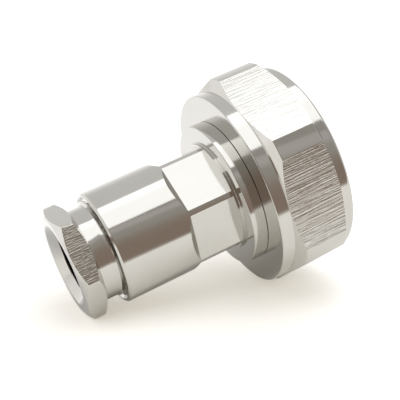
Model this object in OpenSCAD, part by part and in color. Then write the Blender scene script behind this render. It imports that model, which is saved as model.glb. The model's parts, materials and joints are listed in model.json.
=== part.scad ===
// Clamp-type coaxial plug with a large screw coupling, lying at rest on a flat surface.
// Every piece is turned about one axis. In the piece modules Z runs along that axis,
// from the mating end (Z = 0) to the cable end; at_rest() lays the whole plug down.

/* [Coupling nut] */
// Spanner size of the coupling nut, across its flats
nut_af = 32; // [31:0.5:36]
// Diameter over the turned-off hexagon corners
nut_round_d = 35.3; // [33.6:0.1:36.8]
// Length of the coupling nut along the axis
nut_len = 13; // [12.4:0.1:18]
// Length of the plain round in front of the hexagon
nut_front_len = 1.9; // [1:0.1:3]
// Length of the plain round behind the hexagon
nut_rear_len = 2.1; // [1:0.1:3]
// How far the plain rounds stay below the flats
nut_step = 0.1; // [0.05:0.05:0.4]
// Edge break on the rear round
nut_rear_edge = 0.15; // [0.1:0.05:0.8]
// Rounding of the front edge
nut_front_edge = 0.6; // [0.2:0.1:0.9]
// Thickness of the wall that turns on the body
nut_wall = 2.5; // [1.8:0.1:3]
// Angle of the chamfer on the hexagon corners, from the end face
corner_deg = 30; // [20:1:40]

/* [Coupling thread] */
// Nominal diameter of the coupling thread
thread_d = 29; // [27:0.5:30]
// Pitch of the coupling thread
thread_pitch = 1.5; // [1:0.25:2]
// Length of the relief between the thread and the wall
relief_len = 1.9; // [1.5:0.1:2.5]

/* [Body] */
// Diameter of the plain rear barrel
body_d = 18; // [17.4:0.1:20]
// Spanner size of the body, across its milled flats
body_af = 16; // [15.4:0.1:16.8]
// Diameter of the collar behind the coupling nut
flange_d = 23.4; // [22.8:0.1:26]
// Width of that collar
flange_len = 2.2; // [1.5:0.1:4]
// Edge break at the rear of the collar
flange_edge = 0.1; // [0.05:0.05:0.6]
// Width of the full round left between collar and flats
shoulder_len = 0.45; // [0.3:0.05:2]
// Length of the milled flats
flat_len = 8.4; // [5:0.1:9]
// Slope of the run-out at the rear end of each flat
runout_deg = 45; // [30:1:70]
// Length from the collar to the rear rim of the body
barrel_len = 20.1; // [19.6:0.1:26]
// Depth of the countersink in the rear rim
rim_sink = 0.75; // [0.4:0.05:0.9]
// Edge break on the rear rim
rim_edge = 0.3; // [0.1:0.05:0.4]

/* [Mating end] */
// Outer diameter of the front contact sleeve
sleeve_od = 18; // [17.6:0.1:18.6]
// Inner diameter of the front contact sleeve
sleeve_id = 16; // [15.2:0.1:16.4]
// How far the sleeve stands back from the front of the nut
sleeve_setback = 1; // [0:0.1:2]
// Diameter of the seat that the nut turns on
journal_d = 21.6; // [21:0.1:22.2]
// Diameter of the contact pin tip
tip_d = 4; // [3:0.1:5]
// Length of the contact pin tip
tip_len = 5; // [3:0.1:6]
// Diameter of the inner conductor behind the tip
inner_d = 7; // [6:0.1:8]
// Height of the step that stops the front insulator
web_step = 2; // [1.5:0.1:2.4]
// Thickness of that step
web_len = 2.9; // [2:0.1:3.2]
// Radius taken off between the sleeve's bore and the cavity behind the step
cavity_step = 1.5; // [1:0.1:1.8]
// How far the pin tip stands back from the end of the sleeve
tip_setback = 2.4; // [1:0.1:4]
// Section diameter of the sealing ring
seal_d = 2; // [1.4:0.1:2.4]

/* [Retaining ring] */
// Thickness of the split ring that keeps the nut on
ring_t = 1; // [0.6:0.1:1.3]
// Outer diameter of the split ring
ring_od = 24.4; // [23.4:0.1:26]
// Depth of its groove below the seat
groove_depth = 0.95; // [0.6:0.05:1.1]
// Width of the split
ring_split = 2.5; // [1:0.1:5]

/* [Clamp nut] */
// Spanner size of the clamp nut, across its flats
clamp_af = 16; // [15.2:0.1:18]
// Length of the hexagon head
head_len = 3.4; // [2.8:0.1:6]
// Diameter of the round end faces of the head
head_face_d = 15.5; // [15:0.1:15.9]
// Neck that shows between head and body
neck_len = 3; // [2:0.1:6]
// Diameter of the neck
neck_d = 14.7; // [13.6:0.1:15]
// Nominal diameter of the clamp thread
clamp_thread_d = 16; // [15.8:0.1:16.4]
// Pitch of the clamp thread
clamp_pitch = 1; // [0.75:0.25:1.5]
// How far the thread in the body reaches past the washer
thread_lead = 1; // [0.5:0.1:1.5]
// Diameter of the cable bore
cable_bore_d = 10.6; // [8:0.1:11]
// Depth of the countersink at the cable bore
countersink = 0.9; // [0.3:0.1:1.2]

/* [Cable clamping] */
// Thickness of the slip washer
washer_t = 0.8; // [0.5:0.1:1.2]
// Length of the cable gasket
gasket_len = 3.6; // [2:0.1:4.2]
// Diameter through the braid clamp, over the cable's dielectric
dielectric_d = 7.5; // [6:0.1:8.4]
// Outer diameter of the braid clamp's sleeve
ferrule_od = 11.4; // [10:0.1:12]
// Length of that sleeve in front of the flange
ferrule_len = 2.6; // [1:0.1:2.8]
// Length of the taper on that sleeve
ferrule_taper = 0.9; // [0.4:0.1:1.2]
// Thickness of the braid clamp's flange
ferrule_flange = 1.2; // [0.8:0.1:1.6]

/* [Insulators and solder cup] */
// Length of the front insulator
bead_len = 4; // [2.5:0.1:4.4]
// Length of the rear insulator
rear_bead_len = 3; // [1.5:0.1:3.2]
// Diameter of the pin behind the front insulator
stem_d = 4.6; // [3.8:0.1:5.4]
// Bore of the solder cup
cup_d = 2.9; // [2:0.1:3.2]
// Depth of the solder cup
cup_depth = 4; // [2:0.1:6]

/* [Fits] */
// Radial clearance where the nut turns on the body and the clamp nut in its thread
run_clear = 0.04; // [0.02:0.01:0.09]
// Clearance of pieces that are seated and stay put
seat_clear = 0.03; // [0.02:0.01:0.08]
// End play of the coupling nut towards the collar
nut_play = 0.2; // [0.15:0.05:0.6]
// End play of the coupling nut towards the split ring
ring_play = 0.3; // [0.25:0.05:0.6]

/* [At rest] */
// Turn of the coupling nut from a corner straight up
nut_turn = 2.8; // [0:0.1:4]
// Turn of the body's flats
body_turn = -9; // [-30:0.1:30]

/* [Hidden] */
$fn = 96;
over = 1;                                     // how far a cut reaches past the solid

// Coupling nut, from the mating end
nut_r = nut_round_d / 2;
round_r = nut_af / 2 - nut_step;
corner_rise = (nut_r - round_r) * tan(corner_deg);
hex_front = nut_front_len + corner_rise;
hex_rear = nut_len - nut_rear_len - corner_rise;
minor_r = (thread_d - 1.0825 * thread_pitch) / 2;
relief_r = thread_d / 2 + 0.15;
wall_front = nut_len - nut_wall;

// Body, from the mating end
body_r = body_d / 2;
journal_r = journal_d / 2;
flange_front = nut_len + nut_play;
flange_rear = flange_front + flange_len;
flat_front = flange_rear + shoulder_len;
flat_rear = flat_front + flat_len;
rim_z = flange_rear + barrel_len;
ring_rear = wall_front - ring_play;
ring_front = ring_rear - ring_t;
groove_r = journal_r - groove_depth;
lip_len = 0.75;                               // wall left in front of the groove
seat_z = ring_front - seat_clear - lip_len;   // face that the seal lies on
sleeve_r = sleeve_od / 2;
bore_r = sleeve_id / 2;
web_front = flange_rear + 0.2;                // step that stops the front insulator
web_r = bore_r - web_step;
cavity_r = bore_r - cavity_step;              // bore behind the web
stack_z = flat_rear + 0.75;                   // step that stops the braid clamp
clamp_r = clamp_thread_d / 2 - 0.325 * clamp_pitch;   // thread at its pitch radius
thread_bore_r = clamp_r + run_clear;
stack_r = thread_bore_r - 0.3;

// Cable clamping stack, towards the cable end
ferrule_z = stack_z + seat_clear;
gasket_z = ferrule_z + ferrule_flange + seat_clear;
washer_z = gasket_z + gasket_len + seat_clear;
shank_z = washer_z + washer_t + seat_clear;
thread_foot = washer_z - thread_lead;         // where the clamp thread in the body ends
head_z = rim_z + neck_len;
plug_len = head_z + head_len;
clamp_corner_r = clamp_af / 2 / cos(30);
head_rise = (clamp_corner_r - head_face_d / 2) * tan(corner_deg);
cable_r = cable_bore_d / 2;
thread_end = rim_z + 0.45;                    // where the thread runs out into the neck

// Rest: one corner of the coupling nut and one flat of the clamp nut touch the surface
land_half = 30 - acos(nut_af / 2 / nut_r);    // half the angle of a turned-off corner
nut_low = nut_r * cos(max(0, nut_turn - land_half));
clamp_low = clamp_af / 2;
clamp_low_z = plug_len - (clamp_low - head_face_d / 2) * tan(corner_deg);
rest_tilt = atan((nut_low - clamp_low) / (clamp_low_z - hex_rear));
rest_drop = clamp_low_z * sin(rest_tilt) + clamp_low * cos(rest_tilt);
front_reach = (round_r - nut_front_edge) * sin(rest_tilt) - nut_front_edge * cos(rest_tilt)
    + nut_front_edge;
rear_reach = plug_len * cos(rest_tilt) + head_face_d / 2 * sin(rest_tilt);

// Lays a piece down: its mating end points along +X and upwards, over the middle of the footprint
module at_rest() {
    translate([(rear_reach - front_reach) / 2, 0, rest_drop])
        rotate([0, -90 - rest_tilt, 0]) children();
}

// Solid of revolution from a half outline of [radius, distance from the mating end]
module turned(outline) {
    rotate_extrude() polygon(outline);
}

// Hexagonal bar with a corner on +X, of the given size across flats
module hex_bar(af, from, to) {
    translate([0, 0, from]) cylinder(r = af / 2 / cos(30), h = to - from, $fn = 6);
}

// Quarter round between two faces, as outline points about a centre
function quarter(r, z, rad, a0, a1) =
    [for (i = [0 : 4]) let (a = a0 + (a1 - a0) * i / 4) [r + rad * cos(a), z + rad * sin(a)]];

// Turned barrel with milled flats, collar, nut seat and front contact sleeve
module body() {
    color("silver") at_rest() difference() {
        turned(concat(
            [[bore_r, sleeve_setback + 0.25], [bore_r + 0.25, sleeve_setback],
             [sleeve_r - 0.35, sleeve_setback], [sleeve_r, sleeve_setback + 0.6],
             [sleeve_r, seat_z], [journal_r - 0.2, seat_z], [journal_r, seat_z + 0.2],
             [journal_r, ring_front - seat_clear], [groove_r, ring_front - seat_clear],
             [groove_r, ring_rear + seat_clear], [journal_r, ring_rear + seat_clear],
             [journal_r, flange_front], [flange_d / 2 - 0.15, flange_front],
             [flange_d / 2, flange_front + 0.15], [flange_d / 2, flange_rear - flange_edge],
             [flange_d / 2 - flange_edge, flange_rear], [body_r, flange_rear],
             [body_r, rim_z - rim_edge], [body_r - rim_edge, rim_z]],
            [[thread_bore_r + rim_sink, rim_z], [thread_bore_r, rim_z - rim_sink],
             [thread_bore_r, thread_foot], [stack_r, thread_foot], [stack_r, stack_z],
             [cavity_r, stack_z], [cavity_r, web_front + web_len], [web_r, web_front + web_len],
             [web_r, web_front], [bore_r, web_front]]));
        for (i = [0 : 5]) rotate(body_turn + 30 + 60 * i) flat_cut();
    }
}

// What the cutter takes off for one flat: square shoulder in front, sloped run-out behind
module flat_cut() {
    depth = body_r - body_af / 2 + over;
    rotate([90, 0, 0]) translate([0, 0, -body_r]) linear_extrude(body_d)
        polygon([[body_af / 2, flat_front], [body_af / 2 + depth, flat_front],
                 [body_af / 2 + depth, flat_rear + (depth - body_r + body_af / 2) / tan(runout_deg)],
                 [body_af / 2, flat_rear - (body_r - body_af / 2) / tan(runout_deg)]]);
}

// Hexagon nut that turns freely on the body, threaded from the front
module coupling_nut() {
    rear_face_r = round_r - nut_rear_edge;
    mouth_r = thread_d / 2 + 0.2;
    color("gainsboro") at_rest() rotate(nut_turn) difference() {
        intersection() {
            turned(concat(
                [[mouth_r, 0]],
                quarter(round_r - nut_front_edge, nut_front_edge, nut_front_edge, -90, 0),
                [[round_r, nut_front_len], [nut_r, hex_front], [nut_r, hex_rear],
                 [round_r, nut_len - nut_rear_len], [round_r, nut_len - nut_rear_edge],
                 [rear_face_r, nut_len], [journal_r + run_clear, nut_len],
                 [journal_r + run_clear, wall_front], [relief_r, wall_front],
                 [relief_r, wall_front - relief_len], [minor_r, wall_front - relief_len - 0.5],
                 [minor_r, mouth_r - minor_r]]));
            hex_bar(nut_af, -over, nut_len + over);
        }
        thread_cut(minor_r, thread_d / 2, thread_pitch, wall_front - thread_pitch / 2);
    }
}

// Groove of the inside thread as one helical band, from ahead of the front face to the relief
module thread_cut(crest_r, root_r, pitch, end) {
    steps = 36;                               // straight pieces in one turn
    lap = 0.1;                                // how far the band stands into the bore
    mouth = pitch * 3 / 8 + lap * tan(30);
    section = [[crest_r - lap, -mouth], [root_r, -pitch / 16], [root_r, pitch / 16],
        [crest_r - lap, mouth]];
    count = floor((end + pitch) / pitch * steps);
    rings = [for (i = [0 : count]) for (p = section)
        [p[0] * cos(i * 360 / steps), p[0] * sin(i * 360 / steps), p[1] + pitch * (i / steps - 1)]];
    sides = [for (i = [0 : count - 1]) for (k = [0 : 3])
        let (a = 4 * i + k, b = 4 * i + (k + 1) % 4) each [[a, b, a + 4], [b, b + 4, a + 4]]];
    polyhedron(rings, concat([[3, 2, 1, 0]], sides, [[for (k = [0 : 3]) 4 * count + k]]),
        convexity = 10);
}

// Split spring ring in the groove of the body, in front of the nut's wall
module retaining_ring() {
    color("dimgray") at_rest() difference() {
        translate([0, 0, ring_front]) difference() {
            cylinder(d = ring_od, h = ring_t);
            translate([0, 0, -over]) cylinder(r = groove_r + seat_clear, h = ring_t + 2 * over);
        }
        translate([0, -ring_split / 2, ring_front - over])
            cube([ring_od, ring_split, ring_t + 2 * over]);
    }
}

// Rubber ring round the foot of the contact sleeve, sealing against the mating jack
module interface_seal() {
    color("orangered") at_rest()
        translate([0, 0, seat_z - seat_clear - seal_d / 2]) rotate_extrude()
            translate([sleeve_r + seat_clear + seal_d / 2, 0]) circle(d = seal_d, $fn = 48);
}

// Contact pin: round-nosed tip, inner conductor, stem and solder cup
module center_pin() {
    tip_z = sleeve_setback + tip_setback;
    inner_z = tip_z + tip_len;
    bead_z = web_front - bead_len - seat_clear;
    stem_end = stack_z - 1.4;
    nose = tip_d * 0.3;
    color("gold") at_rest() turned(concat(
        [[0, tip_z]], quarter(tip_d / 2 - nose, tip_z + nose, nose, -90, 0),
        [[tip_d / 2, inner_z], [inner_d / 2 - 0.3, inner_z], [inner_d / 2, inner_z + 0.3],
         [inner_d / 2, bead_z - seat_clear], [stem_d / 2, bead_z - seat_clear],
         [stem_d / 2, stem_end], [cup_d / 2, stem_end], [cup_d / 2, stem_end - cup_depth],
         [0, stem_end - cup_depth - cup_d / 4]]));
}

// Plastic bead that centres the pin in the sleeve, stopped by the web of the body
module front_insulator() {
    bead_z = web_front - bead_len - seat_clear;
    color("ivory") at_rest() translate([0, 0, bead_z]) difference() {
        cylinder(r = bore_r - seat_clear, h = bead_len);
        translate([0, 0, -over]) cylinder(r = stem_d / 2 + seat_clear, h = bead_len + 2 * over);
    }
}

// Plastic bead behind the web, round the stem of the pin
module rear_insulator() {
    color("ivory") at_rest() translate([0, 0, web_front + web_len + seat_clear]) difference() {
        cylinder(r = cavity_r - seat_clear, h = rear_bead_len);
        translate([0, 0, -over]) cylinder(r = stem_d / 2 + seat_clear, h = rear_bead_len + 2 * over);
    }
}

// Flanged sleeve that traps the cable's braid against the step in the body
module clamp_ferrule() {
    color("darkkhaki") at_rest() turned(
        [[dielectric_d / 2, ferrule_z - ferrule_len],
         [ferrule_od / 2 - ferrule_taper / 2, ferrule_z - ferrule_len],
         [ferrule_od / 2, ferrule_z - ferrule_len + ferrule_taper], [ferrule_od / 2, ferrule_z],
         [stack_r - 0.2, ferrule_z], [stack_r - 0.2, ferrule_z + ferrule_flange],
         [dielectric_d / 2, ferrule_z + ferrule_flange]]);
}

// Rubber ring that grips the cable's jacket
module cable_gasket() {
    color("darkslategray") at_rest() translate([0, 0, gasket_z]) difference() {
        cylinder(r = stack_r - 0.1, h = gasket_len);
        translate([0, 0, -over]) cylinder(r = cable_r - 0.1, h = gasket_len + 2 * over);
    }
}

// Washer that keeps the turning clamp nut from dragging the gasket round
module slip_washer() {
    color("lightsteelblue") at_rest() translate([0, 0, washer_z]) difference() {
        cylinder(r = stack_r - 0.05, h = washer_t);
        translate([0, 0, -over]) cylinder(r = cable_r + 0.1, h = washer_t + 2 * over);
    }
}

// Hexagon-headed screw with the cable bore
module clamp_nut() {
    color("whitesmoke") at_rest() rotate(30) difference() {
        union() {
            intersection() {
                turned([[0, head_z], [head_face_d / 2, head_z], [clamp_corner_r + over, head_z
                        + head_rise + over * tan(corner_deg)],
                        [clamp_corner_r + over, plug_len - head_rise - over * tan(corner_deg)],
                        [head_face_d / 2, plug_len], [0, plug_len]]);
                hex_bar(clamp_af, head_z - over, plug_len + over);
            }
            turned([[0, shank_z], [clamp_r - 0.4, shank_z], [clamp_r, shank_z + 0.4],
                    [clamp_r, thread_end], [neck_d / 2, thread_end + 0.5],
                    [neck_d / 2, head_z + head_len / 2], [0, head_z + head_len / 2]]);
        }
        turned([[0, shank_z - over], [cable_r, shank_z - over], [cable_r, plug_len - countersink],
                [cable_r + countersink + over, plug_len + over], [0, plug_len + over]]);
    }
}

body();
coupling_nut();
retaining_ring();
interface_seal();
center_pin();
front_insulator();
rear_insulator();
clamp_ferrule();
cable_gasket();
slip_washer();
clamp_nut();
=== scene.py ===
import json
from math import ceil, cos, pi, radians, sin, tan

import bmesh
import bpy
from mathutils import Matrix, Vector


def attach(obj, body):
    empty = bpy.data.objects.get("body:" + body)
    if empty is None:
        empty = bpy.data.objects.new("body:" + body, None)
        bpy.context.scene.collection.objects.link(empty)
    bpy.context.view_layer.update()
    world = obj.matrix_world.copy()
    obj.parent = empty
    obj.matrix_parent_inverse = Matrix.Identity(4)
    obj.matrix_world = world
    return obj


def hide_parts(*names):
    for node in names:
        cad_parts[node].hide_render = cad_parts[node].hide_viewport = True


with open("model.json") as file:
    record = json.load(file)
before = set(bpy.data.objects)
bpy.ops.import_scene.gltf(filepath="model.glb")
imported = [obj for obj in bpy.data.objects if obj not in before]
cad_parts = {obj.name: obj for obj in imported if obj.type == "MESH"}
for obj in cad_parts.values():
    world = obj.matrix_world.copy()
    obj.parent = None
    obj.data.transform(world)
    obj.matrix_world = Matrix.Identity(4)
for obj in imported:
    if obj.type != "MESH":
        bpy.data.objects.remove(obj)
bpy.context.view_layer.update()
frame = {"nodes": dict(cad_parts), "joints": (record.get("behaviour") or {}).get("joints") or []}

print("frame loaded,", len(frame["nodes"]), "nodes")

mm = 0.001

# the plug's own axis: X up, Y sideways, Z from the mating end to the cable end, in mm
couplingTurn = next(j for j in frame["joints"] if j["name"] == "coupling_turn")
seatMiddle = 11.5        # where that joint sits, behind the mating end
outOfPlug = Vector(couplingTurn["axis"]).normalized()
matingEnd = Vector(couplingTurn["pos_m"]) + outOfPlug * seatMiddle * mm
sideways = Vector((0, 1, 0))
plugTurn = Matrix((sideways.cross(-outOfPlug), sideways, -outOfPlug)).transposed()
layDown = Matrix.LocRotScale(matingEnd, plugTurn, Vector((mm, mm, mm)))


# shader maths

class Wire:
    def __init__(self, socket):
        self.socket = socket

    def join(self, operation, other, flipped=False):
        slots = (1, 0) if flipped else (0, 1)
        return Wire.make(self.socket.id_data, "ShaderNodeMath", {"operation": operation},
                         {slots[0]: self, slots[1]: other})

    def __add__(self, other):
        return self.join("ADD", other)

    def __sub__(self, other):
        return self.join("SUBTRACT", other)

    def __rsub__(self, other):
        return self.join("SUBTRACT", other, True)

    def __mul__(self, other):
        return self.join("MULTIPLY", other)

    def __truediv__(self, other):
        return self.join("DIVIDE", other)

    def __pow__(self, other):
        return self.join("POWER", other)

    __radd__ = __add__
    __rmul__ = __mul__

    @staticmethod
    def make(tree, kind, settings, inputs, output=0):
        node = tree.nodes.new(kind)
        for key, value in settings.items():
            setattr(node, key, value)
        for key, value in inputs.items():
            if isinstance(value, Wire):
                tree.links.new(value.socket, node.inputs[key])
            else:
                node.inputs[key].default_value = value
        return Wire(node.outputs[output])


def newFinish(name, constants):
    finish = bpy.data.materials.new(name)
    finish.use_nodes = True
    tree = finish.node_tree
    shader = tree.nodes["Principled BSDF"]
    for key, value in constants.items():
        shader.inputs[key].default_value = value
    return finish, tree, shader


def feed(tree, wire, shader, socket):
    tree.links.new(wire.socket, shader.inputs[socket])


def split(tree, vector, count=3):
    return [Wire.make(tree, "ShaderNodeSeparateXYZ", {}, {"Vector": vector}, i) for i in range(count)]


def onAxis(tree):
    # millimetres in the plug's own axis
    spot = Wire.make(tree, "ShaderNodeTexCoord", {}, {}, "Object")
    spot = Wire.make(tree, "ShaderNodeMapping", {"vector_type": "TEXTURE"},
                     {"Vector": spot, "Location": matingEnd, "Rotation": plugTurn.to_euler(),
                      "Scale": (mm, mm, mm)})
    return spot, split(tree, spot)


def blotches(tree, spot, scale, detail=3.0):
    return Wire.make(tree, "ShaderNodeTexNoise", {"noise_dimensions": "3D"},
                     {"Vector": spot, "Scale": scale, "Detail": detail})


def bumped(tree, shader, height, distance):
    normal = Wire.make(tree, "ShaderNodeBump", {},
                       {"Height": height, "Distance": distance, "Strength": 1.0})
    feed(tree, normal, shader, "Normal")


def mix(tree, share, first, second):
    first, second = [c if isinstance(c, Wire) else (*c, 1) for c in (first, second)]
    return Wire.make(tree, "ShaderNodeMix", {"data_type": "RGBA"}, {0: share, 6: first, 7: second}, 2)


def between(tree, value, low, high):
    return Wire.make(tree, "ShaderNodeMapRange", {"interpolation_type": "SMOOTHSTEP"},
                     {"Value": value, "From Min": low, "From Max": high})


platedLook = {
    "bright": (0.625, 0.61, 0.58), "dull": (0.58, 0.565, 0.535), "roughness": 0.1,
    "smudge": 0.05, "smudgeScale": 0.22,
    "marks": 0.04, "markScale": 6.0, "markDetail": 3.0, "markHeight": 0.5e-6,
    "markSlant": 1.37,       # how fast the marks change across an end face, against along the axis
}


def turnedPlate(name, look):
    # fine tool marks run round the axis
    finish, tree, shader = newFinish(name, {"Metallic": 1.0})
    spot, (x, y, z) = onAxis(tree)
    out = (x * x + y * y) ** 0.5
    marks = Wire.make(tree, "ShaderNodeTexNoise", {"noise_dimensions": "1D"},
                      {"W": z + out * look["markSlant"], "Scale": look["markScale"],
                       "Detail": look["markDetail"]})
    smudge = blotches(tree, spot, look["smudgeScale"])
    feed(tree, mix(tree, smudge, look["dull"], look["bright"]), shader, "Base Color")
    smoothest = look["roughness"] - (look["smudge"] + look["marks"]) / 2
    feed(tree, smudge * look["smudge"] + marks * look["marks"] + smoothest, shader, "Roughness")
    bumped(tree, shader, marks, look["markHeight"])
    return finish


brushLook = {
    "bright": (0.67, 0.66, 0.63), "dull": (0.56, 0.545, 0.515), "roughness": 0.12,
    "lineScale": 4.2, "lineDetail": 4.0, "stretch": 0.035, "height": 85e-6,
    "lineShare": 0.7, "lineRough": 0.08, "smudgeRough": 0.04, "smudgeScale": 0.3,
    "worn": 0.6, "wornFrom": 8.5, "wornTo": 11.5,       # the grain is rubbed down above this height
}


def brushedPlate(name, look):
    # hexagon flats keep the drawn bar's grain, which runs along the axis
    finish, tree, shader = newFinish(name, {"Metallic": 1.0})
    spot, (x, y, z) = onAxis(tree)
    drawn = Wire.make(tree, "ShaderNodeCombineXYZ", {}, {0: x, 1: y, 2: z * look["stretch"]})
    lines = blotches(tree, drawn, look["lineScale"], look["lineDetail"])
    smudge = blotches(tree, spot, look["smudgeScale"])
    tone = lines * look["lineShare"] + smudge * (1 - look["lineShare"])
    feed(tree, mix(tree, tone, look["dull"], look["bright"]), shader, "Base Color")
    smoothest = look["roughness"] - (look["lineRough"] + look["smudgeRough"]) / 2
    feed(tree, lines * look["lineRough"] + smudge * look["smudgeRough"] + smoothest, shader, "Roughness")
    worn = between(tree, x, look["wornFrom"], look["wornTo"])
    bumped(tree, shader, lines * (1 - worn * look["worn"]), look["height"])
    return finish


fluoroLook = {
    "dark": (0.78, 0.78, 0.74), "light": (0.86, 0.86, 0.83), "scale": 0.8, "roughness": 0.42,
    "spread": 0.1, "height": 2e-6,
    "constants": {"Subsurface Weight": 0.15, "Subsurface Radius": (1.5e-3, 1.4e-3, 1.2e-3)},
}
siliconeLook = {
    "dark": (0.42, 0.07, 0.03), "light": (0.52, 0.10, 0.045), "scale": 3.0, "roughness": 0.5,
    "spread": 0.14, "height": 4e-6, "constants": {"Specular IOR Level": 0.4},
}
rubberLook = {
    "dark": (0.012, 0.012, 0.013), "light": (0.03, 0.03, 0.03), "scale": 3.0, "roughness": 0.6,
    "spread": 0.16, "height": 6e-6, "constants": {"Specular IOR Level": 0.35},
}
grainDetail = 4.0


def plainFinish(name, look):
    finish, tree, shader = newFinish(name, look["constants"])
    spot = onAxis(tree)[0]
    grain = blotches(tree, spot, look["scale"], grainDetail)
    feed(tree, mix(tree, grain, look["dark"], look["light"]), shader, "Base Color")
    feed(tree, grain * look["spread"] + (look["roughness"] - look["spread"] / 2), shader, "Roughness")
    bumped(tree, shader, grain, look["height"])
    return finish


turnedMetal = turnedPlate("turned_plate", platedLook)
silverPlate = turnedPlate("silver_plate", {
    **platedLook, "bright": (0.90, 0.89, 0.86), "dull": (0.78, 0.76, 0.71), "roughness": 0.2})
springBronze = turnedPlate("spring_bronze", {
    **platedLook, "bright": (0.72, 0.55, 0.34), "dull": (0.52, 0.38, 0.22), "roughness": 0.28})
brushedMetal = brushedPlate("brushed_plate", brushLook)
milledMetal = brushedPlate("milled_plate", {
    **brushLook, "bright": (0.65, 0.64, 0.61), "dull": (0.58, 0.565, 0.535), "lineScale": 4.0,
    "height": 0.3e-6})
grippedMetal = brushedPlate("gripped_plate", {
    **brushLook, "bright": (0.64, 0.62, 0.58), "dull": (0.36, 0.34, 0.30), "lineScale": 5.5,
    "stretch": 0.11, "height": 100e-6})
fluoroplastic = plainFinish("fluoroplastic", fluoroLook)
siliconeRed = plainFinish("silicone_red", siliconeLook)
blackRubber = plainFinish("black_rubber", rubberLook)
print("finishes made")


# shapes about the axis, in mm

ringSteps = 192          # sides of a turned surface
snug = 1e-4              # points closer than this are one point
onPlane = 0.003          # how far a point may lie from the plane or flat it is looked for on
onRadius = 0.02
arcStep = radians(16)    # turn of one side of a rounding
roomShare = 0.45         # most of a straight side that one rounding may take
besideArc = 0.05         # distance of the point that stands beside a rounding
besideShare = 0.1
sharpFrom = radians(24)  # edges that turn by more than this are shaded sharp


def softOutline(corners, closed):
    # corners are (radius, distance from the mating end, rounding); roundings become arcs,
    # with a point just beside each arc so that long faces keep straight normals
    points = []
    for i, (r, z, rounding) in enumerate(corners):
        here = Vector((r, z))
        if rounding <= 0 or (not closed and i in (0, len(corners) - 1)):
            points.append(here)
            continue
        back = Vector(corners[i - 1][:2]) - here
        ahead = Vector(corners[(i + 1) % len(corners)][:2]) - here
        room = roomShare * min(back.length, ahead.length)
        back.normalize()
        ahead.normalize()
        half = back.angle(ahead) / 2
        reach = min(rounding / tan(half), room)
        radius = reach * tan(half)
        middle = here + (back + ahead).normalized() * (radius / sin(half))
        start, end = here + back * reach, here + ahead * reach
        side = 1 if back.x * ahead.y - back.y * ahead.x < 0 else -1
        bend = side * (pi - 2 * half)
        arcSteps = max(2, ceil(abs(bend) / arcStep))
        spoke = start - middle
        beside = min(besideArc, reach * besideShare)
        points.append(start + back * beside)
        for k in range(arcSteps + 1):
            points.append(middle + Matrix.Rotation(bend * k / arcSteps, 2) @ spoke)
        points.append(end + ahead * beside)
    return points


def spinOutline(bm, corners, closed=True, angle=2 * pi, steps=ringSteps):
    verts = [bm.verts.new((p.x, 0, p.y)) for p in softOutline(corners, closed)]
    pairs = list(zip(verts, verts[1:])) + ([(verts[-1], verts[0])] if closed else [])
    edges = [bm.edges.new(pair) for pair in pairs]
    bmesh.ops.spin(bm, geom=verts + edges, cent=(0, 0, 0), axis=(0, 0, 1), angle=angle,
                   steps=steps, use_merge=angle >= 2 * pi)
    bmesh.ops.remove_doubles(bm, verts=bm.verts, dist=snug)


def whole(bm):
    return bm.verts[:] + bm.edges[:] + bm.faces[:]


def cutEdges(made):
    return [g for g in made["geom_cut"] if isinstance(g, bmesh.types.BMEdge)]


def screwThread(bm, form, crest, root, pitch, start, end, steps):
    # form is (1 at the root or 0 at the crest, share of a pitch) over one pitch; the ends are cut square
    first = start - pitch * (1 + start / pitch % 1)
    turns = ceil((end - first) / pitch) + 1
    verts = [bm.verts.new((root if deep else crest, 0, first + share * pitch)) for deep, share in form]
    edges = [bm.edges.new(pair) for pair in zip(verts, verts[1:])]
    bmesh.ops.spin(bm, geom=verts + edges, cent=(0, 0, 0), axis=(0, 0, 1), angle=2 * pi * turns,
                   steps=steps * turns, dvec=(0, 0, pitch / steps))
    bmesh.ops.remove_doubles(bm, verts=bm.verts, dist=snug)
    for place, way in ((start, -1), (end, 1)):
        bmesh.ops.bisect_plane(bm, geom=whole(bm), dist=snug, plane_co=(0, 0, place),
                               plane_no=(0, 0, way), clear_outer=True)


def rimEdges(bm, place, radius=None):
    # open edges at one distance from the mating end
    found = []
    for edge in bm.edges:
        if len(edge.link_faces) < 2 and all(abs(v.co.z - place) < onPlane for v in edge.verts):
            if radius is None or all(abs(v.co.xy.length - radius) < onRadius for v in edge.verts):
                found.append(edge)
    return found


def joinRims(bm, first, second):
    bmesh.ops.bridge_loops(bm, edges=first + second)


def absorb(bm, other):
    spare = bpy.data.meshes.new("spare")
    other.to_mesh(spare)
    other.free()
    bm.from_mesh(spare)
    bpy.data.meshes.remove(spare)


def hexWays(turn):
    return [Vector((cos(turn + k * pi / 3), sin(turn + k * pi / 3), 0)) for k in range(6)]


def cutFlats(bm, across, turn, slope=0.0, foot=0.0):
    # takes off six flats; a slope makes them climb outwards behind the foot
    cuts = []
    for way in hexWays(turn):
        made = bmesh.ops.bisect_plane(
            bm, geom=whole(bm), dist=snug, plane_co=way * across / 2 + Vector((0, 0, foot)),
            plane_no=(way - Vector((0, 0, slope))).normalized(), clear_outer=True)
        cuts.append(cutEdges(made))
    return cuts


def fillFlat(bm, edges, finishIndex=1):
    for face in bmesh.ops.edgeloop_fill(bm, edges=edges)["faces"]:
        face.material_index = finishIndex


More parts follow.
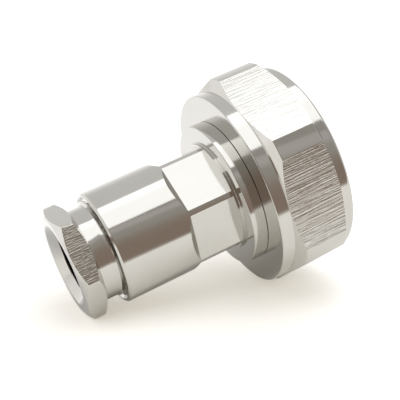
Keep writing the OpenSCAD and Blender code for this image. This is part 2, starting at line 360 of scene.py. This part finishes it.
def finishPiece(name, bm, node, body, finishes):
    bmesh.ops.remove_doubles(bm, verts=bm.verts, dist=snug)
    bmesh.ops.recalc_face_normals(bm, faces=bm.faces)
    for face in bm.faces:
        face.smooth = True
    for edge in bm.edges:
        flats = sum(f.material_index > 0 for f in edge.link_faces)
        if flats == 1 or edge.calc_face_angle(0) > sharpFrom:
            edge.smooth = False
    openEdges = sum(not e.is_manifold for e in bm.edges)
    bmesh.ops.transform(bm, matrix=layDown, verts=bm.verts)
    mesh = bpy.data.meshes.new(name)
    bm.to_mesh(mesh)
    bm.free()
    for finish in finishes:
        mesh.materials.append(finish)
    piece = bpy.data.objects.new(name, mesh)
    bpy.context.scene.collection.objects.link(piece)
    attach(piece, body)
    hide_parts(node)
    print(name, len(mesh.polygons), "faces,", openEdges, "open edges")


# coupling nut

nutSizes = {
    "flats": 32.0, "corners": 35.3, "length": 13.0, "turn": 2.8,
    "frontRound": 1.9, "rearRound": 2.1, "step": 0.1,      # plain rounds at both ends
    "chamfer": 30.0, "chamferSoft": 0.1, "frontEdge": 0.4, "frontSoft": 0.6, "rearEdge": 0.2,
    "wall": 2.5, "bore": 21.68, "boreSoft": 0.15,
    "thread": 29.0, "pitch": 1.5, "threadDepth": 1.0825,   # depth on the diameter, in pitches
    "threadForm": ((1, 0), (1, 0.0625), (0, 0.375), (0, 0.625), (1, 0.9375), (1, 1)),
    "threadSteps": 120, "threadStart": 0.8, "runOut": 0.2, "mouth": 0.2, "mouthEdge": 0.12,
    "relief": 0.15, "reliefLength": 1.9,
}


def makeCouplingNut(s):
    bm = bmesh.new()
    low, high = s["flats"] / 2 - s["step"], s["corners"] / 2
    rise = (high - low) * tan(radians(s["chamfer"]))
    rear = s["length"]
    wall = rear - s["wall"]
    bore, soft = s["bore"] / 2, s["boreSoft"]
    crest, root = (s["thread"] - s["threadDepth"] * s["pitch"]) / 2, s["thread"] / 2
    mouth, relief = root + s["mouth"], root + s["relief"]
    reliefFront = wall - s["reliefLength"]
    threadEnd = reliefFront - s["runOut"]
    edge = s["mouthEdge"]
    screwThread(bm, s["threadForm"], crest, root, s["pitch"], s["threadStart"], threadEnd,
                s["threadSteps"])
    bmesh.ops.rotate(bm, verts=bm.verts, cent=(0, 0, 0),
                     matrix=Matrix.Rotation(radians(s["turn"]), 3, "Z"))
    spinOutline(bm, [
        (relief, reliefFront, 0), (relief, wall, soft), (bore, wall, soft), (bore, rear, soft),
        (low, rear, s["rearEdge"]), (low, rear - s["rearRound"], 0),
        (high, rear - s["rearRound"] - rise, s["chamferSoft"]),
        (high, s["frontRound"] + rise, s["chamferSoft"]), (low, s["frontRound"], 0),
        (low, s["frontEdge"], s["frontSoft"]), (low - s["frontEdge"], 0, s["frontSoft"]),
        (mouth, 0, edge), (mouth - edge, edge, 0),
    ], closed=False)
    joinRims(bm, rimEdges(bm, threadEnd), rimEdges(bm, reliefFront, relief))
    joinRims(bm, rimEdges(bm, s["threadStart"]), rimEdges(bm, edge, mouth - edge))
    for edges in cutFlats(bm, s["flats"], radians(s["turn"] + 30)):
        fillFlat(bm, [e for e in edges if e.is_valid])
    finishPiece("coupling_nut_shell", bm, "coupling_nut", "coupling",
                [turnedMetal, brushedMetal])


# body

bodySizes = {
    "barrel": 18.0, "flats": 16.0, "flatFront": 15.85, "flatRear": 24.25, "rim": 35.5, "turn": -9.0,
    "collar": 23.4, "collarFront": 13.05, "collarRear": 15.4, "collarEdge": 0.14,
    "seat": 21.6, "groove": 19.7, "grooveFront": 9.17, "grooveRear": 10.23, "sealSeat": 8.42,
    "sleeveOut": 18.0, "sleeveIn": 16.0, "sleeveStart": 1.0, "noseLength": 0.6, "noseDepth": 0.35,
    "noseSoft": 0.12, "sleeveMouth": 0.25,
    "web": 12.0, "webFront": 15.6, "webRear": 18.5, "cavity": 13.0, "stack": 25.0, "stackBore": 14.83,
    "thread": 16.1, "threadCrest": 14.98, "pitch": 1.0, "threadFoot": 28.89, "threadSteps": 96,
    "threadForm": ((0, 0), (0, 0.2), (1, 0.52), (1, 0.73), (0, 1)), "runIn": 0.1, "runOut": 0.5,
    "rimEdge": 0.3, "rimSink": 0.43, "rimLap": 0.05, "rimSoft": 0.06,
    "fine": 0.05, "small": 0.1, "wide": 0.2,               # roundings of the other corners
}
flatLap = 0.002          # points of neighbouring strips closer than this are joined


def makeBody(s):
    bm = bmesh.new()
    barrel, collar, seat, groove = [s[d] / 2 for d in ("barrel", "collar", "seat", "groove")]
    sleeve, inner, web, cavity = [s[d] / 2 for d in ("sleeveOut", "sleeveIn", "web", "cavity")]
    crest, root, stack = [s[d] / 2 for d in ("threadCrest", "thread", "stackBore")]
    fine, small, wide, lap = s["fine"], s["small"], s["wide"], s["rimLap"]
    start, rim = s["sleeveStart"], s["rim"]
    turn = radians(s["turn"] + 30)
    ramp = s["flatRear"] - (barrel - s["flats"] / 2)       # where a flat starts to run out
    spinOutline(bm, [(barrel, s["flatFront"], 0), (barrel, ramp, 0)], closed=False)
    cutFlats(bm, s["flats"], turn)
    runOut = bmesh.new()
    spinOutline(runOut, [(barrel, ramp, 0), (barrel, s["flatRear"], 0)], closed=False)
    cutFlats(runOut, s["flats"], turn, 1.0, ramp)
    absorb(bm, runOut)
    threadFront, threadRear = s["threadFoot"] + s["runIn"], rim - s["runOut"]
    thread = bmesh.new()
    screwThread(thread, s["threadForm"], crest, root, s["pitch"], threadFront, threadRear,
                s["threadSteps"])
    absorb(bm, thread)
    spinOutline(bm, [
        (barrel, s["flatFront"], 0), (barrel, s["collarRear"], s["rimSoft"]),
        (collar, s["collarRear"], s["collarEdge"]), (collar, s["collarFront"], fine),
        (seat, s["collarFront"], fine), (seat, s["grooveRear"], fine),
        (groove, s["grooveRear"], fine), (groove, s["grooveFront"], fine),
        (seat, s["grooveFront"], fine), (seat, s["sealSeat"], wide), (sleeve, s["sealSeat"], small),
        (sleeve, start + s["noseLength"], wide), (sleeve - s["noseDepth"], start, s["noseSoft"]),
        (inner + s["sleeveMouth"], start, small), (inner, start + s["sleeveMouth"], small),
        (inner, s["webFront"], fine), (web, s["webFront"], small), (web, s["webRear"], small),
        (cavity, s["webRear"], fine), (cavity, s["stack"], small), (stack, s["stack"], fine),
        (stack, s["threadFoot"], 0),
    ], closed=False)
    spinOutline(bm, [
        (root + lap, threadRear + lap, 0), (root + s["rimSink"], rim, s["rimSoft"]),
        (barrel - s["rimEdge"], rim, s["rimSoft"]), (barrel, rim - s["rimEdge"], small),
        (barrel, s["flatRear"], 0),
    ], closed=False)
    joinRims(bm, rimEdges(bm, threadFront), rimEdges(bm, s["threadFoot"], stack))
    joinRims(bm, rimEdges(bm, threadRear), rimEdges(bm, threadRear + lap, root + lap))
    bmesh.ops.remove_doubles(bm, verts=bm.verts, dist=flatLap)
    # an edge across both ends of each flat parts the flat from its end wall and its run-out
    for way in hexWays(turn):
        onFlat = [v for v in bm.verts if abs(way.dot(v.co) - s["flats"] / 2) < onPlane
                  and v.co.xy.length > barrel - onRadius / 2]
        for place in (s["flatFront"], ramp):
            bmesh.ops.contextual_create(bm, geom=[v for v in onFlat if abs(v.co.z - place) < onPlane])
    openEdges = [e for e in bm.edges if not e.is_manifold]
    for face in bmesh.ops.holes_fill(bm, edges=openEdges, sides=0)["faces"]:
        face.material_index = 1
    finishPiece("body_shell", bm, "body", "housing", [turnedMetal, milledMetal])


# clamp nut

clampSizes = {
    "flats": 16.0, "headFront": 38.5, "end": 41.9, "face": 15.5, "faceSoft": 0.1, "chamfer": 30.0,
    "cornerEdge": 0.14, "cornerSteps": 3, "gripped": 2,    # which of three pairs of flats is worn
    "neck": 14.7, "neckSoft": 0.12, "bore": 10.6, "boreSoft": 0.15, "countersink": 1.3,
    "shank": 30.72, "tipDepth": 0.25, "tipLength": 0.3, "tipSoft": 0.08,
    "threadRoot": 14.74, "threadCrest": 15.9, "pitch": 1.0, "threadEnd": 35.95, "threadSteps": 96,
    "threadForm": ((1, 0), (1, 0.25), (0, 0.56), (0, 0.69), (1, 1)),
    "runIn": 0.4, "runOut": 0.45, "runOutEnd": 0.1, "lap": 0.02,
    "spare": 0.6,                                          # the head starts this much too wide
}


def makeClampNut(s):
    bm = bmesh.new()
    root, crest, neck, face, bore = [
        s[d] / 2 for d in ("threadRoot", "threadCrest", "neck", "face", "bore")]
    shank, front, end = s["shank"], s["headFront"], s["end"]
    threadStart, runOut = shank + s["runIn"], s["threadEnd"] + s["runOut"]
    screwThread(bm, s["threadForm"], crest, root, s["pitch"], threadStart, s["threadEnd"],
                s["threadSteps"])
    corner = s["flats"] / 2 / cos(pi / 6)
    slant = tan(radians(s["chamfer"]))
    rise, more = (corner - face) * slant, s["spare"] * slant
    spinOutline(bm, [
        (neck + s["lap"], runOut, 0), (neck, runOut + s["runOutEnd"], 0), (neck, front, s["neckSoft"]),
        (face, front, 0), (corner + s["spare"], front + rise + more, 0),
        (corner + s["spare"], end - rise - more, 0), (face, end, s["faceSoft"]),
        (bore + s["countersink"], end, s["faceSoft"]),
        (bore, end - s["countersink"], s["boreSoft"]), (bore, shank, s["boreSoft"]),
        (root - s["tipDepth"], shank, s["tipSoft"]), (root - s["lap"], shank + s["tipLength"], 0),
    ], closed=False)
    joinRims(bm, rimEdges(bm, s["threadEnd"]), rimEdges(bm, runOut, neck + s["lap"]))
    joinRims(bm, rimEdges(bm, threadStart), rimEdges(bm, shank + s["tipLength"], root - s["lap"]))
    for k, way in enumerate(hexWays(0)):
        head = [g for g in whole(bm)
                if (g if isinstance(g, bmesh.types.BMVert) else g.verts[0]).co.z > front - onRadius / 2]
        made = bmesh.ops.bisect_plane(bm, geom=head, dist=snug, plane_co=way * s["flats"] / 2,
                                      plane_no=way, clear_outer=True)
        fillFlat(bm, cutEdges(made), 2 if k % 3 == s["gripped"] else 1)
    ridges = [e for e in bm.edges if len(e.link_faces) == 2
              and all(f.material_index > 0 for f in e.link_faces)]
    bmesh.ops.bevel(bm, geom=ridges, offset=s["cornerEdge"], offset_type="OFFSET",
                    segments=s["cornerSteps"], profile=0.5, affect="EDGES", clamp_overlap=True,
                    material=-1)
    finishPiece("clamp_nut_shell", bm, "clamp_nut", "clamp",
                [turnedMetal, milledMetal, grippedMetal])


# split ring that keeps the coupling nut on

ringSizes = {
    "front": 9.2, "rear": 10.2, "inside": 9.88, "outside": 12.2, "split": 2.5, "innerSoft": 0.08,
    "outerSoft": 0.12, "steps": 160,
}


def makeRing(s):
    bm = bmesh.new()
    gap = s["split"] / s["outside"]
    spinOutline(bm, [
        (s["inside"], s["front"], s["innerSoft"]), (s["outside"], s["front"], s["outerSoft"]),
        (s["outside"], s["rear"], s["outerSoft"]), (s["inside"], s["rear"], s["innerSoft"]),
    ], angle=2 * pi - gap, steps=s["steps"])
    bmesh.ops.holes_fill(bm, edges=[e for e in bm.edges if e.is_boundary], sides=0)
    bmesh.ops.rotate(bm, verts=bm.verts, cent=(0, 0, 0), matrix=Matrix.Rotation(gap / 2, 3, "Z"))
    finishPiece("retaining_ring_shell", bm, "retaining_ring", "housing",
                [springBronze])


# sealing ring at the foot of the contact sleeve

sealSizes = {"section": 2.0, "middle": 10.03, "place": 7.39, "sides": 28}


def makeSeal(s):
    bm = bmesh.new()
    turns = [2 * pi * k / s["sides"] for k in range(s["sides"])]
    spinOutline(bm, [(s["middle"] + s["section"] / 2 * cos(a), s["place"] + s["section"] / 2 * sin(a), 0)
                     for a in turns])
    finishPiece("interface_seal_shell", bm, "interface_seal", "housing",
                [siliconeRed])


# contact pin with its solder cup

pinSizes = {
    "tip": 2.0, "start": 3.4, "nose": 1.2, "shoulder": 8.4, "footSoft": 0.15, "inner": 3.5,
    "shoulderSoft": 0.3, "beadStart": 11.54, "fine": 0.05, "stem": 2.3, "end": 23.6, "endSoft": 0.12,
    "cup": 1.45, "cupDepth": 4.0, "cupSoft": 0.1, "steps": 96,
}


def makePin(s):
    bm = bmesh.new()
    cupFoot = s["end"] - s["cupDepth"]
    spinOutline(bm, [
        (0, s["start"], 0), (s["tip"], s["start"], s["nose"]), (s["tip"], s["shoulder"], s["footSoft"]),
        (s["inner"], s["shoulder"], s["shoulderSoft"]), (s["inner"], s["beadStart"], s["fine"]),
        (s["stem"], s["beadStart"], s["fine"]), (s["stem"], s["end"], s["endSoft"]),
        (s["cup"], s["end"], s["endSoft"]), (s["cup"], cupFoot, s["cupSoft"]),
        (0, cupFoot - s["cup"] / 2, 0),
    ], closed=False, steps=s["steps"])
    finishPiece("center_pin_shell", bm, "center_pin", "housing", [silverPlate])


# flanged sleeve that traps the braid

ferruleSizes = {
    "bore": 3.75, "sleeve": 5.7, "front": 22.43, "taper": 0.9, "taperSoft": 0.2, "seat": 25.03,
    "seatSoft": 0.08, "flange": 7.215, "rear": 26.23, "small": 0.1, "boreSoft": 0.2, "steps": 128,
}


def makeFerrule(s):
    bm = bmesh.new()
    small = s["small"]
    spinOutline(bm, [
        (s["bore"], s["front"], small), (s["sleeve"] - s["taper"] / 2, s["front"], small),
        (s["sleeve"], s["front"] + s["taper"], s["taperSoft"]), (s["sleeve"], s["seat"], s["seatSoft"]),
        (s["flange"], s["seat"], small), (s["flange"], s["rear"], small),
        (s["bore"], s["rear"], s["boreSoft"]),
    ], steps=s["steps"])
    finishPiece("clamp_ferrule_shell", bm, "clamp_ferrule", "housing", [turnedMetal])


# plain rings: insulators, gasket and washer

frontInsulator = {"inside": 2.33, "outside": 7.97, "front": 11.57, "rear": 15.57, "soft": 0.2}
rearInsulator = {"inside": 2.33, "outside": 6.47, "front": 18.53, "rear": 21.53, "soft": 0.2}
cableGasket = {"inside": 5.2, "outside": 7.315, "front": 26.26, "rear": 29.86, "soft": 0.35}
slipWasher = {"inside": 5.4, "outside": 7.365, "front": 29.89, "rear": 30.69, "soft": 0.1}
plainSteps = 128


def makePlainRing(node, s, body, finish):
    bm = bmesh.new()
    spinOutline(bm, [(s[r], s[z], s["soft"]) for r, z in (
        ("inside", "front"), ("outside", "front"), ("outside", "rear"), ("inside", "rear"))],
        steps=plainSteps)
    finishPiece(node + "_shell", bm, node, body, [finish])


makeCouplingNut(nutSizes)
makeBody(bodySizes)
makeClampNut(clampSizes)
makeRing(ringSizes)
makeSeal(sealSizes)
makePin(pinSizes)
makeFerrule(ferruleSizes)
makePlainRing("front_insulator", frontInsulator, "housing", fluoroplastic)
makePlainRing("rear_insulator", rearInsulator, "housing", fluoroplastic)
makePlainRing("cable_gasket", cableGasket, "housing", blackRubber)
makePlainRing("slip_washer", slipWasher, "washer", turnedMetal)
print("pieces made")


# stage, in metres

cameraLook = {
    "lens": 85.5, "sensor": 36.0, "pitch": 17.979, "swing": 25.15,
    "right": 15.853, "up": 6.855, "ahead": 155.386,        # mating end from the camera, in mm
    "nearest": 0.005, "farthest": 50.0,
}
swing, pitch = radians(cameraLook["swing"]), radians(cameraLook["pitch"])
toRight = Vector((cos(swing), -sin(swing), 0))
level = Vector((sin(swing), cos(swing), 0))                # level, away from the camera


def stageMesh(name, bm, finish):
    mesh = bpy.data.meshes.new(name)
    bm.to_mesh(mesh)
    bm.free()
    mesh.materials.append(finish)
    piece = bpy.data.objects.new(name, mesh)
    bpy.context.scene.collection.objects.link(piece)
    return piece


floorLook = {
    "size": 6.0, "colour": (0.84, 0.85, 0.88), "roughness": 0.9,
    # painted light added for the camera: less round the plug, so that its shadow stays, and more further
    # out, where it whitens the floor
    "seen": (0.43, 0.40, 0.34), "seenFar": (0.62, 0.61, 0.59), "middle": (-0.006, -0.006),
    "farFrom": 0.016, "farTo": 0.05,
    # painted light seen only in reflections: added in front of the plug, hardly any below it, which is
    # painted shade there, and more behind it
    "front": (0.33, 0.31, 0.25), "behind": (0.05, 0.04, 0.02), "back": (0.50, 0.49, 0.47),
    "behindFrom": -0.007, "behindTo": -0.0022, "endFrom": -0.036, "endTo": -0.026,
    "backFrom": 0.010, "backTo": 0.036,
}


def makeFloor(look):
    bm = bmesh.new()
    bmesh.ops.create_grid(bm, x_segments=1, y_segments=1, size=look["size"] / 2)
    finish, tree, shader = newFinish("pale_floor", {
        "Base Color": (*look["colour"], 1), "Roughness": look["roughness"], "Specular IOR Level": 0.0,
        "Emission Strength": 1.0})
    x, y = split(tree, Wire.make(tree, "ShaderNodeTexCoord", {}, {}, "Object"), 2)
    across, along = x - look["middle"][0], y - look["middle"][1]
    out = (across * across + along * along) ** 0.5
    camera, glossy, through = [Wire.make(tree, "ShaderNodeLightPath", {}, {}, ray) for ray in
                               ("Is Camera Ray", "Is Glossy Ray", "Is Transmission Ray")]
    # painted light for the camera: weaker near the plug, stronger further out
    seen = mix(tree, between(tree, out, look["farFrom"], look["farTo"]), look["seen"], look["seenFar"])
    # painted shade in reflections: the floor under the plug gets almost no lift
    paintedShadeUnder = between(tree, y, look["behindFrom"], look["behindTo"])
    paintedShadeUnder = paintedShadeUnder * between(tree, x, look["endFrom"], look["endTo"])
    paintedReflection = mix(tree, paintedShadeUnder, look["front"], look["behind"])
    # painted light in reflections: a stronger lift behind the plug
    paintedReflection = mix(tree, between(tree, y, look["backFrom"], look["backTo"]), paintedReflection, look["back"])
    lift = mix(tree, camera, paintedReflection, seen)
    lift = mix(tree, between(tree, camera + glossy + through, 0, 1), (0, 0, 0), lift)
    feed(tree, lift, shader, "Emission Color")
    stageMesh("floor", bm, finish)


# tones of the painted reflection card by height: pale at its foot, darkest just above, paler higher up
cardLook = {
    "foot": -0.043, "top": -0.30, "height": 0.43, "left": -0.07, "right": 0.70, "lift": 0.0005,
    "edge": (0.76, 0.73, 0.68), "low": (0.315, 0.245, 0.20), "lowFrom": 0.0, "lowTo": 0.0045,
    "middle": (0.40, 0.385, 0.35), "middleFrom": 0.02, "middleTo": 0.08,
    "high": (0.55, 0.52, 0.50), "highFrom": 0.09, "highTo": 0.17,
}


def makePaintedReflectionCard(look):
    # a painted reflection: a card on the camera's side, there for the metal to mirror as a dark room,
    # unseen by the camera, by diffuse light and by shadows
    bm = bmesh.new()
    corners = [level * look[depth] + toRight * look[side] + Vector((0, 0, look[height]))
               for depth, side, height in (("foot", "left", "lift"), ("foot", "right", "lift"),
                                           ("top", "right", "height"), ("top", "left", "height"))]
    bm.faces.new([bm.verts.new(c) for c in corners])
    finish, tree, shader = newFinish("painted_reflection_card", {
        "Base Color": (0, 0, 0, 1), "Roughness": 1.0, "Specular IOR Level": 0.0,
        "Emission Strength": 1.0})
    z = split(tree, Wire.make(tree, "ShaderNodeTexCoord", {}, {}, "Object"))[2]
    # painted reflection tones, banded by height
    tone = look["edge"]
    for band in ("low", "middle", "high"):
        tone = mix(tree, between(tree, z, look[band + "From"], look[band + "To"]), tone, look[band])
    feed(tree, tone, shader, "Emission Color")
    card = stageMesh("painted_reflection_card", bm, finish)
    # only reflections see this painted card
    card.visible_camera = False
    card.visible_diffuse = False
    card.visible_shadow = False


roomLook = {
    "wall": (1.16, 1.15, 1.14), "upper": (0.78, 0.775, 0.76), "upperFrom": 0.0, "upperTo": 0.55,
    "dark": (0.40, 0.38, 0.35), "darkFrom": -0.35, "darkTo": 0.75,
    "darkRight": 0.3, "darkNear": 0.954,                   # the way to the dark side
    "seen": (1.0, 1.0, 1.0),
}


def makeRoom(look):
    # a pale studio, darker on the side where the camera stands
    world = bpy.data.worlds.new("studio")
    bpy.context.scene.world = world
    world.use_nodes = True
    tree = world.node_tree
    x, y, z = split(tree, Wire.make(tree, "ShaderNodeTexCoord", {}, {}, "Generated"))
    side = toRight * look["darkRight"] - level * look["darkNear"]
    near = (x * side.x + y * side.y) / (x * x + y * y) ** 0.5
    colour = mix(tree, between(tree, z, look["upperFrom"], look["upperTo"]), look["wall"], look["upper"])
    colour = mix(tree, between(tree, near, look["darkFrom"], look["darkTo"]), colour, look["dark"])
    camera = Wire.make(tree, "ShaderNodeLightPath", {}, {}, "Is Camera Ray")
    feed(tree, mix(tree, camera, colour, look["seen"]), tree.nodes["Background"], "Color")


lampLook = {
    "place": (-0.045, -0.096, 0.42), "turn": 9.65, "width": 0.62, "depth": 0.37, "power": 0.905,
    "colour": (0.95, 0.975, 1.0),
}


def makeLamp(look):
    lamp = bpy.data.lights.new("softbox", "AREA")
    lamp.shape = "RECTANGLE"
    lamp.size = look["width"]
    lamp.size_y = look["depth"]
    lamp.energy = look["power"]
    lamp.color = look["colour"]
    holder = bpy.data.objects.new("softbox", lamp)
    holder.location = look["place"]
    holder.rotation_euler = (0, 0, radians(look["turn"]))
    bpy.context.scene.collection.objects.link(holder)


def makeCamera(look):
    ahead = level * cos(pitch) - Vector((0, 0, 1)) * sin(pitch)
    up = toRight.cross(ahead)
    place = matingEnd - (toRight * look["right"] + up * look["up"] + ahead * look["ahead"]) * mm
    data = bpy.data.cameras.new("camera")
    data.lens = look["lens"]
    data.sensor_width = look["sensor"]
    data.sensor_fit = "HORIZONTAL"
    data.clip_start = look["nearest"]
    data.clip_end = look["farthest"]
    camera = bpy.data.objects.new("camera", data)
    camera.matrix_world = Matrix.LocRotScale(
        place, Matrix((toRight, up, -ahead)).transposed(), None)
    bpy.context.scene.collection.objects.link(camera)
    bpy.context.scene.camera = camera


makeFloor(floorLook)
makePaintedReflectionCard(cardLook)
makeRoom(roomLook)
makeLamp(lampLook)
makeCamera(cameraLook)
bpy.context.scene.view_settings.view_transform = "Standard"
print("stage set")
